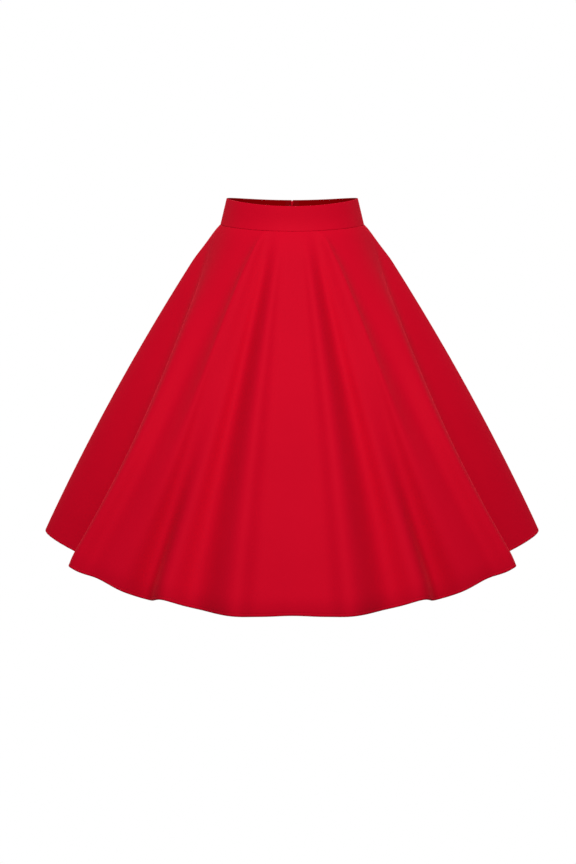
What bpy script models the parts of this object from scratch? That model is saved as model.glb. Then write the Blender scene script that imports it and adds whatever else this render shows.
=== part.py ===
"""A flared a-line skirt with a narrow waistband and a concealed zip at the centre back.

Metres, +Z up, with the front facing -Y. The origin is the middle of the waistband,
where the skirt is held. The skirt hangs filled out, in the soft folds of its cut.
Azimuth is counted from the centre front, over the side at +X, to the centre back.
"""

import math
from collections import namedtuple

import bmesh
import bpy
from mathutils import Matrix, Vector

# The waistband, an oval strip that widens towards its lower edge
WAIST_HALF_WIDTH = 0.1195
WAIST_HALF_DEPTH = 0.0900
SEAM_HALF_WIDTH = 0.1312
SEAM_HALF_DEPTH = 0.0980
BAND_HEIGHT = 0.0475
BAND_DIP_FRONT = 0.0095
BAND_DIP_BACK = 0.0080
BAND_WALL = 0.0020
BAND_COLUMNS = 80
BAND_ROWS = 2

# The skirt cloth, and how it leaves the waist seam and droops to the hem
CLOTH_WALL = 0.0015
SEAM_GAP = 0.0003
DROOP = 0.073
SHOULDER = 0.0045
SHOULDER_SHARE = 0.02
CLOTH_ROWS = 10
ROW_CROWDING = 1.7
COLUMNS_PER_FOLD = 6
BULGE_SKEW = 0.7

# Each row is the top or the bottom of one fold, on the side at +X. The other side
# mirrors them. A ruling of cloth runs from its waist azimuth to its hem azimuth,
# in degrees. The hem radius and the cut length from seam to hem are in metres. The
# bulge is how far the ruling stands out or in between its ends, mostly in its upper half.
Fold = namedtuple("Fold", "name waist_azimuth hem_azimuth hem_radius bulge length")
FOLDS = (
    Fold("front_middle", 0.0, 0.0, 0.376, -0.002, 0.6780),
    Fold("front_trough", 6.5, 9.5, 0.377, 0.000, 0.6815),
    Fold("front_inner_crest", 12.0, 14.5, 0.396, -0.004, 0.6870),
    Fold("front_inner_valley", 15.5, 22.0, 0.370, -0.005, 0.6775),
    Fold("front_low_crest", 19.0, 31.0, 0.409, -0.012, 0.6775),
    Fold("front_low_valley", 22.5, 39.6, 0.387, 0.001, 0.6800),
    Fold("front_outer_crest", 27.5, 44.2, 0.416, 0.004, 0.6800),
    Fold("front_outer_valley", 36.5, 51.0, 0.417, -0.014, 0.6740),
    Fold("front_side_crest", 75.0, 57.6, 0.464, 0.004, 0.6725),
    Fold("front_side_valley", 85.0, 79.0, 0.392, 0.004, 0.6665),
    Fold("side_crest", 93.0, 92.3, 0.469, 0.002, 0.6740),
    Fold("back_side_valley", 106.0, 107.0, 0.392, 0.000, 0.6740),
    Fold("back_side_crest", 118.0, 123.0, 0.456, 0.004, 0.6750),
    Fold("back_outer_valley", 142.0, 131.0, 0.411, -0.012, 0.6755),
    Fold("back_outer_crest", 151.0, 138.0, 0.419, 0.003, 0.6790),
    Fold("back_low_valley", 156.5, 143.0, 0.389, 0.001, 0.6785),
    Fold("back_low_crest", 160.5, 151.0, 0.409, -0.011, 0.6775),
    Fold("back_inner_valley", 164.5, 159.5, 0.373, -0.005, 0.6770),
    Fold("back_inner_crest", 168.5, 166.0, 0.395, -0.003, 0.6840),
    Fold("back_middle", 180.0, 180.0, 0.379, 0.000, 0.6785),
)
CENTRE_BACK = len(FOLDS) - 1
SIDE_SEAM = 10.5

# The concealed zip. Heights are counted down from the band's top edge.
TAPE_TOP = 0.0015
TAPE_INNER_EDGE = 0.0010
TAPE_OUTER_EDGE = 0.0130
TAPE_WALL = 0.0010
TAPE_COLUMNS = 3
TAPE_BAND_ROWS = 3
TAPE_CLOTH_ROWS = 4

# The zip's slider sits inside the band, and its bail comes out through a notch
NOTCH_HALF_WIDTH = 0.0010
NOTCH_DEPTH = 0.0082
SLIDER_TOP = 0.0010
SLIDER_LENGTH = 0.0090
SLIDER_WIDTH = 0.0052
SLIDER_DEPTH = 0.0026
BAIL_TOP = 0.0014
BAIL_LENGTH = 0.0062
BAIL_LEG = 0.0012
BAIL_BAR = 0.0008
BAIL_CLEAR = 0.0024
BAIL_THICKNESS = 0.0012

# The pull tab turns on its own cross bar, under the bail
HINGE_DROP = BAIL_TOP + BAIL_LENGTH / 2
HINGE_PROUD = BAIL_CLEAR / 2
PULL_BAR = 0.0012
PULL_WINDOW_HALF_WIDTH = 0.0011
PULL_WINDOW_LENGTH = 0.0044
PULL_TOP_HALF_WIDTH = 0.0021
PULL_END_RADIUS = 0.0026
PULL_LENGTH = 0.0180
PULL_THICKNESS = 0.0010
ARC_STEPS = 8


def clear_scene():
    for obj in list(bpy.data.objects):
        bpy.data.objects.remove(obj, do_unlink=True)


def make_collection(name):
    collection = bpy.data.collections.new(name)
    bpy.context.scene.collection.children.link(collection)
    return collection


def make_material(name, colour, roughness, metallic=0.0, sheen=0.0):
    material = bpy.data.materials.new(name)
    material.use_nodes = True
    shader = material.node_tree.nodes["Principled BSDF"]
    shader.inputs["Base Color"].default_value = (*colour, 1.0)
    shader.inputs["Roughness"].default_value = roughness
    shader.inputs["Metallic"].default_value = metallic
    shader.inputs["Sheen Weight"].default_value = sheen
    material.diffuse_color = (*colour, 1.0)
    return material


def add_object(name, data, material, collection):
    obj = bpy.data.objects.new(name, data)
    data.materials.append(material)
    collection.objects.link(obj)
    return obj


# The form of the band

def band_point(azimuth, share):
    """A point on the band's outside, share 0 at its top edge and 1 at the waist seam."""
    half_width = WAIST_HALF_WIDTH + (SEAM_HALF_WIDTH - WAIST_HALF_WIDTH) * share
    half_depth = WAIST_HALF_DEPTH + (SEAM_HALF_DEPTH - WAIST_HALF_DEPTH) * share
    facing = math.cos(azimuth)
    dip = (BAND_DIP_FRONT if facing > 0 else BAND_DIP_BACK) * facing**2
    height = BAND_HEIGHT * (0.5 - share) - dip
    return Vector((half_width * math.sin(azimuth), -half_depth * facing, height))


# The form of the cloth

def between_folds(values, station):
    """A value from the table's rows, with a smooth run that never overshoots them."""
    steps = [after - before for before, after in zip(values, values[1:])]

    def slope(row):
        before = steps[max(row - 1, 0)]
        after = steps[min(row, len(steps) - 1)]
        return 2 * before * after / (before + after)

    row = min(int(station), len(steps) - 1)
    part = station - row
    rise = part**2 * (3 - 2 * part)
    start_bend = part * (1 - part) ** 2 * slope(row)
    end_bend = part**2 * (part - 1) * slope(row + 1)
    return values[row] + steps[row] * rise + start_bend + end_bend


def eased(values, station):
    """A value from the table's rows, level at each of them and smooth between."""
    row = min(int(station), len(values) - 2)
    ease = 0.5 - 0.5 * math.cos(math.pi * (station - row))
    return values[row] + (values[row + 1] - values[row]) * ease


def cloth_point(station, share):
    """A point on the cloth's outside, share 0 at the waist seam and 1 at the hem.

    The station counts folds from the centre front, and is negative on the side at -X.
    Each ruling leaves the seam a little steeper than it reaches the hem, as cloth
    with some stiffness does, over a low shoulder made by the seam's allowance.
    """
    here = abs(station)
    waist_azimuth = math.radians(between_folds([row.waist_azimuth for row in FOLDS], here))
    hem_azimuth = math.radians(between_folds([row.hem_azimuth for row in FOLDS], here))
    hem_radius = eased([row.hem_radius for row in FOLDS], here)
    bulge = eased([row.bulge for row in FOLDS], here)
    length = eased([row.length for row in FOLDS], here)

    seam = band_point(waist_azimuth, 1)
    hem = Vector((hem_radius * math.sin(hem_azimuth), -hem_radius * math.cos(hem_azimuth), seam.z))
    reach = (hem - seam).length
    lean = math.asin(reach / length * DROOP / math.sin(DROOP))
    start = lean + DROOP
    turned = lean + DROOP * (1 - 2 * share)
    out = length * (math.cos(turned) - math.cos(start)) / (2 * DROOP)
    down = length * (math.sin(start) - math.sin(turned)) / (2 * DROOP)
    out += SHOULDER * (1 - math.exp(-share / SHOULDER_SHARE) - share)
    out += bulge * math.sin(math.pi * share**BULGE_SKEW)

    point = seam + (hem - seam) * (out / reach) - Vector((0, 0, down))
    if station < 0:
        point.x = -point.x
    return point


def row_share(row):
    """The share of the cloth's length at one of the panels' rows, closest near the waist."""
    return (row / CLOTH_ROWS) ** ROW_CROWDING


def cloth_beside_seam(station, share, shift):
    """A cloth point moved along the cloth's width, towards +station for a shift over 0."""
    step = 0.01
    across = cloth_point(station + step, share) - cloth_point(station - step, share)
    return cloth_point(station, share) + across.normalized() * shift


# Sheets of cloth

def make_sheet(name, columns, rows, place, wall, material, collection):
    """A grid laid on the form by place(across, up), both 0 to 1, with its wall inside."""
    mesh = bpy.data.meshes.new(name)
    bm = bmesh.new()
    half = 0.5
    bmesh.ops.create_grid(bm, x_segments=columns, y_segments=rows, size=half)
    for vert in bm.verts:
        vert.co = place(vert.co.x + half, vert.co.y + half)
    bm.to_mesh(mesh)
    bm.free()
    mesh.shade_smooth()
    obj = add_object(name, mesh, material, collection)
    solidify = obj.modifiers.new("wall", "SOLIDIFY")
    solidify.thickness = wall
    solidify.offset = -1.0
    solidify.use_even_offset = True
    return obj


def make_panel(name, first_station, last_station, material, collection):
    """A cloth panel between two seams, which keeps half a gap to each of them."""
    folds = last_station - first_station
    half_gap = SEAM_GAP / 2
    top_share = SEAM_GAP / FOLDS[0].length

    def place(across, up):
        share = max(row_share((1 - up) * CLOTH_ROWS), top_share)
        if across < 1e-6:
            return cloth_beside_seam(first_station, share, half_gap)
        if across > 1 - 1e-6:
            return cloth_beside_seam(last_station, share, -half_gap)
        return cloth_point(first_station + folds * across, share)

    columns = round(folds * COLUMNS_PER_FOLD)
    return make_sheet(name, columns, CLOTH_ROWS, place, CLOTH_WALL, material, collection)


def make_waistband(material, collection, helpers):
    """One strip that opens at the centre back, with a notch for the zip's bail."""
    opening = SEAM_GAP / 2 / WAIST_HALF_WIDTH

    def place(across, up):
        azimuth = (2 * across - 1) * (math.pi - opening)
        return band_point(azimuth, 1 - up)

    band = make_sheet("waistband", BAND_COLUMNS, BAND_ROWS, place, BAND_WALL, material, collection)

    height = 2 * NOTCH_DEPTH
    size = Vector((2 * NOTCH_HALF_WIDTH, 8 * BAND_WALL, height))
    cutter = make_box("notch_cutter", size, material, helpers)
    cutter.matrix_world = zip_frame()
    cutter.hide_render = True
    cutter.display_type = "WIRE"
    notch = band.modifiers.new("notch", "BOOLEAN")
    notch.operation = "DIFFERENCE"
    notch.object = cutter
    return band


# The zip

def zip_frame():
    """The frame of the band's top edge at the centre back: X across, Y out, Z up the band."""
    top = band_point(math.pi, 0)
    up = (top - band_point(math.pi, 1)).normalized()
    across = Vector((1, 0, 0))
    out = up.cross(across)
    turn = Matrix((across, out, up)).transposed().to_4x4()
    return Matrix.Translation(top) @ turn


def make_box(name, size, material, collection):
    mesh = bpy.data.meshes.new(name)
    bm = bmesh.new()
    bmesh.ops.create_cube(bm, size=1.0)
    bmesh.ops.scale(bm, vec=size, verts=bm.verts)
    bm.to_mesh(mesh)
    bm.free()
    return add_object(name, mesh, material, collection)


def station_beside_zip(share, width):
    """The station whose cloth, at this share, lies a width away from the centre back."""
    near_fold, near_zip = CENTRE_BACK - 1.0, float(CENTRE_BACK)
    for _ in range(30):
        middle = (near_fold + near_zip) / 2
        if cloth_point(middle, share).x > width:
            near_fold = middle
        else:
            near_zip = middle
    return middle


def inside_band(width, drop, depth):
    """A point a depth inside the band, at a width from the centre back and a drop."""
    slant = (band_point(math.pi, 1) - band_point(math.pi, 0)).length
    share = drop / slant
    azimuth = math.pi - width / WAIST_HALF_WIDTH
    step = 0.01
    point = band_point(azimuth, share)
    across = band_point(azimuth + step, share) - point
    up = band_point(azimuth, share - step) - point
    return point - across.cross(up).normalized() * depth


def inside_cloth(width, share, depth):
    """A point a depth inside the cloth, at a width from the centre back."""
    station = station_beside_zip(share, width)
    step = 0.005
    point = cloth_point(station, share)
    across = point - cloth_point(station - step, share)
    up = cloth_point(station, share - step) - point
    return point - across.cross(up).normalized() * depth


def make_zip_tape(name, side, material, collection):
    """A woven tape against the inside of the band and of the first rows of one back panel."""
    slant = (band_point(math.pi, 1) - band_point(math.pi, 0)).length
    rows = TAPE_BAND_ROWS + TAPE_CLOTH_ROWS

    def place(across, up):
        if side < 0:
            across = 1 - across
        width = TAPE_OUTER_EDGE + (TAPE_INNER_EDGE - TAPE_OUTER_EDGE) * across
        row = round((1 - up) * rows)
        if row <= TAPE_BAND_ROWS:
            drop = TAPE_TOP + (slant - TAPE_TOP) * row / TAPE_BAND_ROWS
            point = inside_band(width, drop, BAND_WALL + SEAM_GAP)
        else:
            share = row_share(row - TAPE_BAND_ROWS)
            point = inside_cloth(width, share, CLOTH_WALL + SEAM_GAP)
        point.x *= side
        return point

    return make_sheet(name, TAPE_COLUMNS, rows, place, TAPE_WALL, material, collection)


def flat_curve(name, outlines, thickness):
    """A flat piece as a 2D curve, in the curve's own XY plane. A second outline is a hole."""
    curve = bpy.data.curves.new(name, "CURVE")
    curve.dimensions = "2D"
    curve.fill_mode = "BOTH"
    curve.extrude = thickness / 2
    for outline in outlines:
        spline = curve.splines.new("POLY")
        spline.points.add(len(outline) - 1)
        for point, (x, y) in zip(spline.points, outline):
            point.co = (x, y, 0, 1)
        spline.use_cyclic_u = True
    return curve


def mesh_of_curve(name, curve, material, collection):
    """The curve's solid as a mesh, with its caps joined to its sides."""
    guide = bpy.data.objects.new(name + "_guide", curve)
    collection.objects.link(guide)
    bpy.context.view_layer.update()
    graph = bpy.context.evaluated_depsgraph_get()
    mesh = bpy.data.meshes.new_from_object(guide.evaluated_get(graph))
    bpy.data.objects.remove(guide, do_unlink=True)
    bm = bmesh.new()
    bm.from_mesh(mesh)
    bmesh.ops.remove_doubles(bm, verts=bm.verts, dist=1e-6)
    bmesh.ops.recalc_face_normals(bm, faces=bm.faces)
    bm.to_mesh(mesh)
    bm.free()
    mesh.materials.clear()
    return add_object(name, mesh, material, collection)


def make_slider(material, collection, helpers):
    """The slider's body inside the tapes, joined to the bail that stands outside."""
    tape_inside = BAND_WALL + SEAM_GAP + TAPE_WALL
    body_outside = tape_inside + SEAM_GAP
    body = make_box("zip_slider", Vector((SLIDER_WIDTH, SLIDER_DEPTH, SLIDER_LENGTH)), material, collection)
    centre = Vector((0, -body_outside - SLIDER_DEPTH / 2, -SLIDER_TOP - SLIDER_LENGTH / 2))
    body.matrix_world = zip_frame() @ Matrix.Translation(centre)

    root = -body_outside - SLIDER_DEPTH / 2
    top, bottom = -BAIL_TOP, -BAIL_TOP - BAIL_LENGTH
    bar = BAIL_CLEAR + BAIL_BAR
    outline = (
        (root, top),
        (bar, top),
        (bar, bottom),
        (root, bottom),
        (root, bottom + BAIL_LEG),
        (BAIL_CLEAR, bottom + BAIL_LEG),
        (BAIL_CLEAR, top - BAIL_LEG),
        (root, top - BAIL_LEG),
    )
    bail = mesh_of_curve("bail", flat_curve("bail", [outline], BAIL_THICKNESS), material, helpers)
    curve_to_zip = Matrix(((0, 0, 1), (1, 0, 0), (0, 1, 0))).to_4x4()
    bail.matrix_world = zip_frame() @ curve_to_zip
    bail.hide_render = True
    bail.display_type = "WIRE"
    join = body.modifiers.new("bail", "BOOLEAN")
    join.operation = "UNION"
    join.object = bail
    return body


def make_pull(material, collection):
    """The pull tab, a flat stamping with a window that its cross bar closes at the top."""
    half_bar = PULL_BAR / 2
    end_centre = -(PULL_LENGTH - half_bar - PULL_END_RADIUS)
    outline = [(-PULL_TOP_HALF_WIDTH, half_bar)]
    for step in range(ARC_STEPS + 1):
        angle = math.pi + math.pi * step / ARC_STEPS
        x = PULL_END_RADIUS * math.cos(angle)
        outline.append((x, end_centre + PULL_END_RADIUS * math.sin(angle)))
    outline.append((PULL_TOP_HALF_WIDTH, half_bar))
    window_end = -half_bar - PULL_WINDOW_LENGTH
    window = (
        (-PULL_WINDOW_HALF_WIDTH, -half_bar),
        (PULL_WINDOW_HALF_WIDTH, -half_bar),
        (PULL_WINDOW_HALF_WIDTH, window_end),
        (-PULL_WINDOW_HALF_WIDTH, window_end),
    )
    curve = flat_curve("zip_pull", [outline, window], PULL_THICKNESS)
    pull = add_object("zip_pull", curve, material, collection)
    hinge = Matrix.Translation(Vector((0, HINGE_PROUD, -HINGE_DROP)))
    curve_to_zip = Matrix(((1, 0, 0), (0, 0, -1), (0, 1, 0))).to_4x4()
    pull.matrix_world = zip_frame() @ hinge @ curve_to_zip
    return pull


def main():
    clear_scene()
    skirt = make_collection("a_line_skirt")
    helpers = make_collection("helpers")

    red = (0.62, 0.010, 0.030)
    front_cloth = make_material("front cotton", red, 0.62, sheen=0.2)
    left_cloth = make_material("back left cotton", red, 0.62, sheen=0.2)
    right_cloth = make_material("back right cotton", red, 0.62, sheen=0.2)
    band_cloth = make_material("waistband cotton", red, 0.62, sheen=0.2)
    left_tape = make_material("left zip tape", (0.42, 0.010, 0.025), 0.75)
    right_tape = make_material("right zip tape", (0.42, 0.010, 0.025), 0.75)
    slider_enamel = make_material("slider enamel", (0.60, 0.020, 0.040), 0.35, metallic=0.2)
    pull_enamel = make_material("pull enamel", (0.60, 0.020, 0.040), 0.35, metallic=0.2)

    make_panel("skirt_front", -SIDE_SEAM, SIDE_SEAM, front_cloth, skirt)
    make_panel("skirt_back_left", SIDE_SEAM, CENTRE_BACK, left_cloth, skirt)
    make_panel("skirt_back_right", -CENTRE_BACK, -SIDE_SEAM, right_cloth, skirt)
    make_waistband(band_cloth, skirt, helpers)
    make_zip_tape("zip_tape_left", 1, left_tape, skirt)
    make_zip_tape("zip_tape_right", -1, right_tape, skirt)
    make_slider(slider_enamel, skirt, helpers)
    make_pull(pull_enamel, skirt)


main()
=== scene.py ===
"""The looks of a flared a-line skirt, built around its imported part.

Metres, +Z up, with the skirt's front facing -Y, in the part's own frame. Azimuth and the
station along the cloth are counted from the centre front, over the side at +X.
"""

import math
from collections import namedtuple

import bmesh
import bpy
import numpy as np
from mathutils import Matrix, Vector


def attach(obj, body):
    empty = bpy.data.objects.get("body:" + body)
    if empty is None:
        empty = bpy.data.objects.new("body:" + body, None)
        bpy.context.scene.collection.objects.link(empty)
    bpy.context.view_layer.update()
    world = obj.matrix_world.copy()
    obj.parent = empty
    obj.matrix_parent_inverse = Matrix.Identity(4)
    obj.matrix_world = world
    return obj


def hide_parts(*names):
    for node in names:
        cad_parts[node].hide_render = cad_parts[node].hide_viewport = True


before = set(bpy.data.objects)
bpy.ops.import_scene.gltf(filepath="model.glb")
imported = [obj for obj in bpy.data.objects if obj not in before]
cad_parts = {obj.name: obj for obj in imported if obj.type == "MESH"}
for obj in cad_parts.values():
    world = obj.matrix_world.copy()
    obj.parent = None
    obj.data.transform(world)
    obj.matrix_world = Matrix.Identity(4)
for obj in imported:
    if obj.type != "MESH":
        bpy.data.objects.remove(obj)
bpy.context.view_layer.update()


# The three panels. Each is cut as part of a ring from plain-dyed cotton sateen, closed to
# the next one at a side or at the centre back, and sewn to the waistband's lower edge. They
# hang in soft folds, and their lower edge is turned up twice.

MM = 0.001

WAIST_HALF_WIDTH = 0.1195
WAIST_HALF_DEPTH = 0.0900
SEAM_HALF_WIDTH = 0.1312
SEAM_HALF_DEPTH = 0.0980
BAND_HEIGHT = 0.0475
BAND_DIP_FRONT = 0.0095
BAND_DIP_BACK = 0.0080
SEAM_LIFT_FRONT = 0.0036
DROOP = 0.073
SHOULDER_FRONT = 0.0020
SHOULDER_SIDE = 0.0085
SHOULDER_SHARE = 0.02
BULGE_SKEW = 0.7
FOLDS_FULL_AT = 0.12
SIDE_FOLDS_LATER_BY = 0.20
SIDE_FOLDS = (8.0, 12.0)
SIDE_FOLD_SPREAD = 0.9
UNFOLDED_RADIUS = 0.402

Fold = namedtuple("Fold", "name waist_azimuth hem_azimuth hem_radius bulge sway length skew")
FOLDS = (
    Fold("front_middle", 0.0, 0.0, 0.376, -0.002, 0.0, 0.6780, 1.0),
    Fold("front_trough", 5.0, 9.0, 0.378, 0.000, 0.0, 0.6815, 1.0),
    Fold("front_inner_crest", 8.5, 14.5, 0.405, 0.003, 0.0, 0.6875, 0.9),
    Fold("front_inner_valley", 16.0, 27.5, 0.365, -0.011, 0.0, 0.6775, 1.0),
    Fold("front_low_crest", 18.0, 33.8, 0.405, -0.012, -1.5, 0.6765, 1.0),
    Fold("front_low_valley", 21.0, 43.3, 0.371, 0.020, -4.0, 0.6830, 1.0),
    Fold("front_outer_crest", 23.0, 47.2, 0.418, 0.008, -5.5, 0.6835, 0.65),
    Fold("front_outer_valley", 35.0, 55.0, 0.436, -0.017, -4.0, 0.6745, 1.0),
    Fold("front_side_crest", 70.0, 58.0, 0.467, -0.020, -7.0, 0.6725, 1.0),
    Fold("front_side_valley", 79.0, 78.5, 0.378, -0.015, -3.0, 0.6665, 1.0),
    Fold("side_crest", 93.0, 92.3, 0.474, 0.000, 0.0, 0.6740, 1.0),
    Fold("back_side_valley", 104.0, 106.0, 0.388, -0.010, 2.0, 0.6740, 1.1),
    Fold("back_side_crest", 114.0, 122.0, 0.456, -0.003, 4.0, 0.6750, 1.0),
    Fold("back_outer_valley", 143.0, 130.0, 0.416, -0.010, 3.0, 0.6755, 1.5),
    Fold("back_outer_crest", 153.0, 138.0, 0.417, 0.004, 4.5, 0.6790, 1.0),
    Fold("back_low_valley", 157.0, 142.5, 0.384, 0.001, 3.0, 0.6785, 1.0),
    Fold("back_low_crest", 160.5, 151.0, 0.409, -0.011, 1.5, 0.6775, 1.0),
    Fold("back_inner_valley", 164.0, 158.0, 0.368, -0.008, 0.0, 0.6770, 1.2),
    Fold("back_inner_crest", 168.5, 166.0, 0.395, -0.003, 0.0, 0.6840, 1.0),
    Fold("back_middle", 180.0, 180.0, 0.379, 0.000, 0.0, 0.6785, 1.0),
)
CENTRE_BACK = len(FOLDS) - 1
SIDE_SEAM = 10.5

CLOTH_THICKNESS = 0.7 * MM
SEAM_GAP = 0.3 * MM
EDGE_ROLL = 0.8 * MM
HEM_THICKNESS = 1.8 * MM
HEM_DEPTH = 7.7 * MM
HEM_DEPTH_BELOW = 0.2 * MM
HEM_DEPTH_ABOVE = 0.4 * MM
HEM_STITCH_LINE = 6.3 * MM
HEM_ROLL = 2.2 * MM
HEM_CURL = 7.0 * MM
HEM_CURL_DROP = 0.36
HEM_CURL_REACH = 34.0 * MM
HEM_STITCH_DENT = 0.25 * MM
HEM_STITCH_DENT_WIDTH = 0.55 * MM
HEM_PUFF = 0.08 * MM
HEM_ROPE = 0.14 * MM
HEM_ROPE_PITCH = 9.0 * MM
HEM_ROPE_SLANT = 0.5
BOBBIN_DENT = 0.2 * MM
LEAST_WALL = 0.2 * MM
COLUMNS_PER_STATION = 12
ROW_SPACING = 6.0 * MM
STATION_STEP = 0.01
HEM_SAMPLES = 600
SIDE_STEPS = (0.15, 0.3, 0.55, 0.9)
TOP_STEPS = (0.3, 0.45, 0.7, 1.1, 1.8, 3.0)
HEM_STEPS = (0, 0.12, 0.35, 0.8, 1.5, 2.6, 3.9, 5.0, 5.6, 6.0, 6.3, 6.6, 7.0, 7.4, 7.8, 8.3, 9.5)


def between_folds(column, station):
    """A column of the table at any station, in a smooth run that never overshoots its rows."""
    values = np.array([getattr(row, column) for row in FOLDS])
    steps = np.diff(values)
    before = np.concatenate((steps[:1], steps))
    after = np.concatenate((steps, steps[-1:]))
    slopes = 2 * before * after / (before + after)
    row = np.minimum(station.astype(int), len(steps) - 1)
    part = station - row
    run = values[row] + steps[row] * part**2 * (3 - 2 * part)
    return run + part * (1 - part) ** 2 * slopes[row] + part**2 * (part - 1) * slopes[row + 1]


def eased(column, station):
    """A column of the table at any station, level at each row and smooth between."""
    values = np.array([getattr(row, column) for row in FOLDS])
    row = np.minimum(station.astype(int), len(values) - 2)
    skew = np.array([fold.skew for fold in FOLDS])[row]
    ease = 0.5 - 0.5 * np.cos(math.pi * (station - row) ** skew)
    return values[row] + (values[row + 1] - values[row]) * ease


def soft_step(value, low, high):
    """A rise from 0 at the low end to 1 at the high end, level at both."""
    part = np.clip((value - low) / (high - low), 0, 1)
    return part * part * (3 - 2 * part)


def dent(distance, width):
    """A smooth bell, 1 where the distance is none."""
    return np.exp(-((distance / width) ** 2))


def band_points(azimuth, share):
    """Points on the waistband's outside, share 0 at its top edge and 1 at the waist seam."""
    half_width = WAIST_HALF_WIDTH + (SEAM_HALF_WIDTH - WAIST_HALF_WIDTH) * share
    half_depth = WAIST_HALF_DEPTH + (SEAM_HALF_DEPTH - WAIST_HALF_DEPTH) * share
    facing = np.cos(azimuth)
    dip = np.where(facing > 0, BAND_DIP_FRONT, BAND_DIP_BACK) * facing**2
    height = BAND_HEIGHT * (0.5 - share) - dip + SEAM_LIFT_FRONT * share * np.maximum(facing, 0) ** 2
    return np.stack((half_width * np.sin(azimuth), -half_depth * facing, height), axis=-1)


def ruled_points(station, share):
    """The cloth as straight-edged folds, share 0 at the waist seam and 1 at the hem."""
    here = np.abs(station)
    hem_azimuth = np.radians(between_folds("hem_azimuth", here))
    hem_radius = eased("hem_radius", here)
    length = eased("length", here) + SEAM_LIFT_FRONT * np.maximum(np.cos(hem_azimuth), 0) ** 2
    seam = band_points(np.radians(between_folds("waist_azimuth", here)), 1.0)

    out_x = hem_radius * np.sin(hem_azimuth) - seam[..., 0]
    out_y = -hem_radius * np.cos(hem_azimuth) - seam[..., 1]
    reach = np.hypot(out_x, out_y)
    lean = np.arcsin(reach / length * DROOP / math.sin(DROOP))
    turned = lean + DROOP * (1 - 2 * share)
    out = length * (np.cos(turned) - np.cos(lean + DROOP)) / (2 * DROOP)
    down = length * (np.sin(lean + DROOP) - np.sin(turned)) / (2 * DROOP)
    shoulder = SHOULDER_FRONT + (SHOULDER_SIDE - SHOULDER_FRONT) * np.sin(hem_azimuth) ** 2
    out = out + shoulder * (1 - np.exp(-share / SHOULDER_SHARE) - share)
    out = out + eased("bulge", here) * np.sin(math.pi * np.clip(share, 0, 1) ** BULGE_SKEW)

    later = sum(dent(here - row, SIDE_FOLD_SPREAD) for row in SIDE_FOLDS)
    grown = soft_step(share, 0, FOLDS_FULL_AT + SIDE_FOLDS_LATER_BY * later)
    even_x = UNFOLDED_RADIUS * np.sin(hem_azimuth) - seam[..., 0]
    even_y = -UNFOLDED_RADIUS * np.cos(hem_azimuth) - seam[..., 1]
    x = seam[..., 0] + (even_x + (out_x - even_x) * grown) * out / reach
    y = seam[..., 1] + (even_y + (out_y - even_y) * grown) * out / reach
    turn = np.radians(eased("sway", here)) * np.sin(math.pi * np.clip(share, 0, 1))
    x, y = x * np.cos(turn) - y * np.sin(turn), x * np.sin(turn) + y * np.cos(turn)
    return np.stack((np.where(station < 0, -x, x), y, seam[..., 2] - down), axis=-1)


SOFTNESS_AT_WAIST = 3.0 * MM
SOFTNESS_AT_HEM = 13.0 * MM
LOOP_STATIONS = np.linspace(-CENTRE_BACK, CENTRE_BACK, 6001)
LOOP_SHARES = np.linspace(0, 1, 150) ** 1.5
LOOP_SAMPLES = 4096


def softened_loops():
    """Every level of the ruled form as a closed loop, its turns rounded as cloth rounds them."""
    loops = ruled_points(LOOP_STATIONS[:, None], LOOP_SHARES[None, :])
    for level, share in enumerate(LOOP_SHARES):
        loop = loops[:, level]
        steps = np.linalg.norm(np.diff(loop, axis=0), axis=1)
        walked = np.concatenate(([0.0], np.cumsum(steps)))
        even = np.linspace(0, walked[-1], LOOP_SAMPLES, endpoint=False)
        waves = np.fft.rfftfreq(LOOP_SAMPLES, walked[-1] / LOOP_SAMPLES) * 2 * math.pi
        softness = SOFTNESS_AT_WAIST + (SOFTNESS_AT_HEM - SOFTNESS_AT_WAIST) * share
        damping = np.exp(-((waves * softness) ** 2) / 2)
        for axis in range(3):
            spectrum = np.fft.rfft(np.interp(even, walked, loop[:, axis])) * damping
            soft = np.fft.irfft(spectrum, LOOP_SAMPLES)
            loop[:, axis] = np.interp(walked, np.append(even, walked[-1]), np.append(soft, soft[0]))
    return loops


LOOPS = softened_loops()


def curled_under(points, to_hem):
    """The points with the last of the cloth drawn in by the stiff hem, least at the sides."""
    radius = np.hypot(points[..., 0], points[..., 1])
    facing = np.abs(points[..., 1]) / radius
    curl = HEM_CURL * facing * np.clip(1 - to_hem / HEM_CURL_REACH, 0, 1) ** 2
    points[..., :2] *= (1 - curl / radius)[..., None]
    points[..., 2] -= HEM_CURL_DROP * curl
    return points


def cloth_points(station, share):
    """Points on the cloth's outside, share 0 at the waist seam and 1 at the hem."""
    station, share = np.broadcast_arrays(station, share)
    place = (station + CENTRE_BACK) / (2 * CENTRE_BACK) * (len(LOOP_STATIONS) - 1)
    column = np.clip(place.astype(int), 0, len(LOOP_STATIONS) - 2)
    beside = (place - column)[..., None]
    level = np.clip(np.searchsorted(LOOP_SHARES, share, side="right") - 1, 0, len(LOOP_SHARES) - 2)
    below = (share - LOOP_SHARES[level]) / (LOOP_SHARES[level + 1] - LOOP_SHARES[level])
    below = below[..., None]
    upper = LOOPS[column, level] * (1 - beside) + LOOPS[column + 1, level] * beside
    lower = LOOPS[column, level + 1] * (1 - beside) + LOOPS[column + 1, level + 1] * beside
    points = upper * (1 - below) + lower * below
    return curled_under(points, (1 - share) * FOLDS[0].length)


def unit(vectors):
    return vectors / np.linalg.norm(vectors, axis=-1, keepdims=True)


def outward(points):
    """The outward normals of a grid whose first index runs along +station, the second down."""
    along = np.gradient(points, axis=0)
    down = np.gradient(points, axis=1)
    return unit(np.cross(down, along))


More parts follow.
